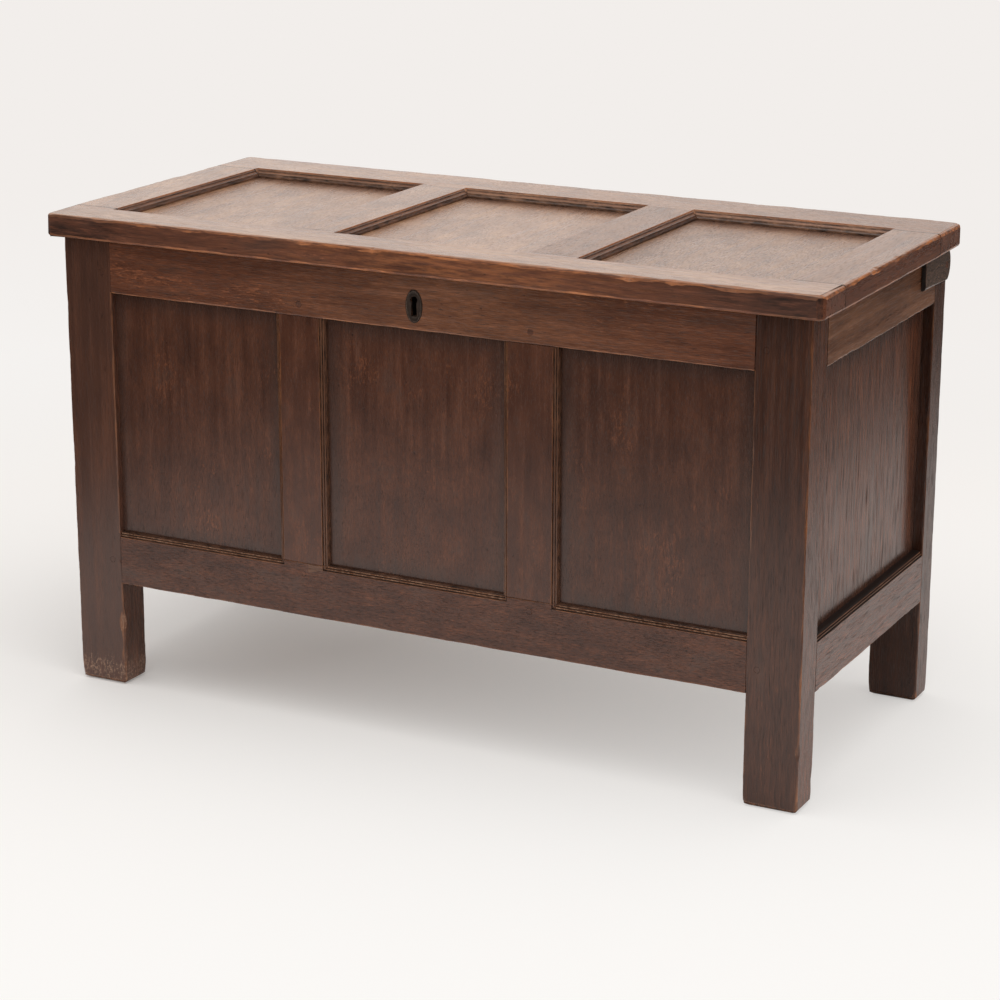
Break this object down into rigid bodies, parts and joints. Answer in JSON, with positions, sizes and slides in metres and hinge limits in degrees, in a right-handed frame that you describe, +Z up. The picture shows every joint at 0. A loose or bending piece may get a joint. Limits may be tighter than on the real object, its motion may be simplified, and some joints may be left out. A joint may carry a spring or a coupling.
{
  "type": "wooden coffer",
  "caption": "Joined oak coffer on stile feet, with panelled front, ends and back, a floor, a panelled lid on wooden pin hinges, and an iron lock with bolt, staple and keyhole plate.",
  "frame": {"origin": "on the floor under the middle of the lid", "axes": "+Z up, -Y out of the front with the keyhole, +X to the right of someone who stands in front"},
  "size_m": [1.086, 0.499, 0.6483],
  "materials": {
    "stained_oak": "dark stained and waxed, worn at the edges",
    "worn_lid_oak": "stained and waxed, paled by use",
    "bare_oak": "bare, aged",
    "wrought_iron": "black, aged"
  },
  "bodies": {
    "carcass": {"front_left_stile": "stained_oak", "front_right_stile": "stained_oak", "rear_left_stile": "stained_oak", "rear_right_stile": "stained_oak", "front_top_rail": "stained_oak", "front_bottom_rail": "stained_oak", "front_left_muntin": "stained_oak", "front_right_muntin": "stained_oak", "front_left_panel": "stained_oak", "front_middle_panel": "stained_oak", "front_right_panel": "stained_oak", "left_end_top_rail": "stained_oak", "left_end_bottom_rail": "stained_oak", "left_end_panel": "stained_oak", "right_end_top_rail": "stained_oak", "right_end_bottom_rail": "stained_oak", "right_end_panel": "stained_oak", "back_top_rail": "stained_oak", "back_bottom_rail": "stained_oak", "back_muntin": "stained_oak", "back_left_panel": "stained_oak", "back_right_panel": "stained_oak", "floor_board_1": "bare_oak", "floor_board_2": "bare_oak", "floor_board_3": "bare_oak", "floor_board_4": "bare_oak", "front_left_top_peg": "stained_oak", "front_left_bottom_peg": "stained_oak", "front_right_top_peg": "stained_oak", "front_right_bottom_peg": "stained_oak", "front_left_muntin_top_peg": "stained_oak", "front_left_muntin_bottom_peg": "stained_oak", "front_right_muntin_top_peg": "stained_oak", "front_right_muntin_bottom_peg": "stained_oak", "left_end_front_top_peg": "stained_oak", "left_end_front_bottom_peg": "stained_oak", "left_end_rear_top_peg": "stained_oak", "left_end_rear_bottom_peg": "stained_oak", "right_end_front_top_peg": "stained_oak", "right_end_front_bottom_peg": "stained_oak", "right_end_rear_top_peg": "stained_oak", "right_end_rear_bottom_peg": "stained_oak", "left_hinge_pin": "stained_oak", "right_hinge_pin": "stained_oak", "keyhole_escutcheon": "wrought_iron", "lock_plate": "wrought_iron", "lock_cap": "wrought_iron"},
    "lid": {"lid_front_rail": "worn_lid_oak", "lid_back_rail": "worn_lid_oak", "lid_left_stile": "worn_lid_oak", "lid_right_stile": "worn_lid_oak", "lid_left_muntin": "worn_lid_oak", "lid_right_muntin": "worn_lid_oak", "lid_left_panel": "worn_lid_oak", "lid_middle_panel": "worn_lid_oak", "lid_right_panel": "worn_lid_oak", "left_hinge_cleat": "stained_oak", "right_hinge_cleat": "stained_oak", "lock_staple": "wrought_iron"},
    "lock_bolt": {"lock_bolt": "wrought_iron"}
  },
  "joints": [
    {"name": "lid_hinge", "type": "hinge", "parent": "carcass", "child": "lid", "pos_m": [0, 0.2265, 0.5963], "axis": [-1, 0, 0], "range_deg": [0, 95]},
    {"name": "bolt_slide", "type": "slide", "parent": "carcass", "child": "lock_bolt", "axis": [1, 0, 0], "range_m": [0, 0.012]}
  ]
}
